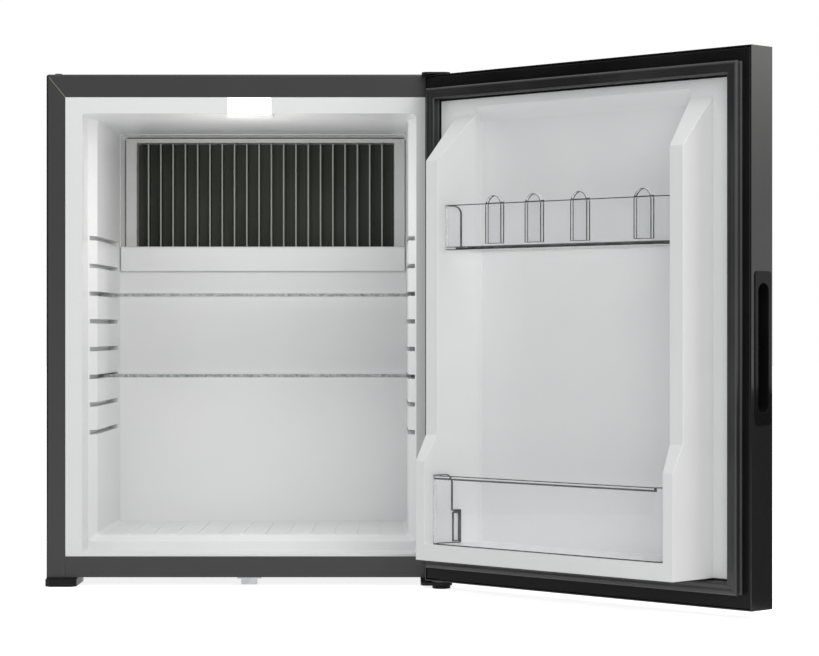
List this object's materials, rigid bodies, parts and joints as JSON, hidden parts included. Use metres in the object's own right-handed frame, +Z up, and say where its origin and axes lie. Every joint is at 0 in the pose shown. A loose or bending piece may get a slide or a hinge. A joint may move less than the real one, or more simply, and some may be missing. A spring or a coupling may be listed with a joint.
{
  "type": "minibar fridge",
  "caption": "Compact hotel minibar fridge with its door swung open, glass shelves, clear door racks, finned evaporator and an absorption cooling unit behind.",
  "frame": {"origin": "on the floor, below the middle of the cabinet's front edge", "axes": "+X to the right seen from the front, +Y to the back, +Z up"},
  "size_m": [0.6793, 0.7047, 0.5077],
  "materials": {
    "painted_steel": "satin charcoal paint",
    "galvanised_steel": "zinc coated sheet",
    "white_liner": "thermoformed, soft gloss",
    "insulating_foam": "rigid foam",
    "coated_fins": "dark coating with bare front edges",
    "light_grey_plastic": "moulded",
    "lamp_diffuser": "lit diffuser",
    "white_plastic": "moulded",
    "black_plastic": "moulded",
    "dark_door_frame": "satin",
    "black_rubber": "soft",
    "bonded_magnet": "matt",
    "clear_glass": "polished",
    "clear_plastic": "polished clear plastic",
    "black_hinge_steel": "black paint",
    "zinc_steel": "zinc plated",
    "hinge_nylon": "plain",
    "black_pipework": "black paint",
    "mineral_wool": "fibrous",
    "bare_aluminium": "milled"
  },
  "bodies": {
    "cabinet": {"cabinet_wrapper": "painted_steel", "bottom_rail": "painted_steel", "base_pan": "galvanised_steel", "rear_panel": "galvanised_steel", "front_tab": "galvanised_steel", "inner_liner": "white_liner", "drip_tray": "white_liner", "cabinet_foam": "insulating_foam", "evaporator_fins": "coated_fins", "evaporator_frame": "light_grey_plastic", "drain_tube": "light_grey_plastic", "drip_cup": "light_grey_plastic", "lamp_lens": "lamp_diffuser", "lamp_housing": "white_plastic", "lamp_board": "white_plastic", "front_foot": "black_plastic", "rear_feet": "black_plastic", "hinge_foot": "black_plastic", "hinge_hole_plug": "black_plastic", "control_box": "black_plastic", "control_lid": "black_plastic", "mains_inlet": "black_plastic", "lower_hinge_bracket": "black_hinge_steel", "upper_hinge_plate": "black_hinge_steel", "lower_hinge_pin": "zinc_steel", "upper_hinge_pin": "zinc_steel", "hinge_screws": "zinc_steel", "rear_screws": "zinc_steel", "boiler_heater": "zinc_steel", "hinge_washer": "hinge_nylon", "condenser_pipe": "black_pipework", "condenser_fins": "black_pipework", "condenser_clips": "black_pipework", "absorber_vessel": "black_pipework", "absorber_coil": "black_pipework", "absorber_saddles": "black_pipework", "solution_pipe": "black_pipework", "evaporator_pipe": "black_pipework", "boiler_casing": "black_pipework", "boiler_insulation": "mineral_wool", "heat_bridge": "bare_aluminium"},
    "door": {"door_skin": "painted_steel", "door_frame": "dark_door_frame", "door_foam": "insulating_foam", "door_liner": "white_liner", "door_gasket": "black_rubber", "gasket_magnet": "bonded_magnet", "handle_insert": "black_plastic", "lower_hinge_bush": "hinge_nylon", "upper_hinge_bush": "hinge_nylon", "upper_rack": "clear_plastic", "lower_rack": "clear_plastic"},
    "upper_shelf": {"upper_shelf": "clear_glass"},
    "lower_shelf": {"lower_shelf": "clear_glass"},
    "rack_divider_1": {"rack_divider_1": "clear_plastic"},
    "rack_divider_2": {"rack_divider_2": "clear_plastic"},
    "rack_divider_3": {"rack_divider_3": "clear_plastic"},
    "rack_divider_4": {"rack_divider_4": "clear_plastic"}
  },
  "joints": [
    {"name": "door_hinge", "type": "hinge", "parent": "cabinet", "child": "door", "pos_m": [0.19, -0.0225, 0.25], "axis": [0, 0, 1], "range_deg": [-135, 0]},
    {"name": "upper_shelf_slide", "type": "slide", "parent": "cabinet", "child": "upper_shelf", "axis": [0, -1, 0], "range_m": [0, 0.075]},
    {"name": "lower_shelf_slide", "type": "slide", "parent": "cabinet", "child": "lower_shelf", "axis": [0, -1, 0], "range_m": [0, 0.075]},
    {"name": "rack_divider_1_slide", "type": "slide", "parent": "door", "child": "rack_divider_1", "axis": [0.7071, -0.7071, 0], "range_m": [-0.015, 0.015]},
    {"name": "rack_divider_2_slide", "type": "slide", "parent": "door", "child": "rack_divider_2", "axis": [0.7071, -0.7071, 0], "range_m": [-0.015, 0.015]},
    {"name": "rack_divider_3_slide", "type": "slide", "parent": "door", "child": "rack_divider_3", "axis": [0.7071, -0.7071, 0], "range_m": [-0.015, 0.015]},
    {"name": "rack_divider_4_slide", "type": "slide", "parent": "door", "child": "rack_divider_4", "axis": [0.7071, -0.7071, 0], "range_m": [-0.015, 0.007]}
  ]
}
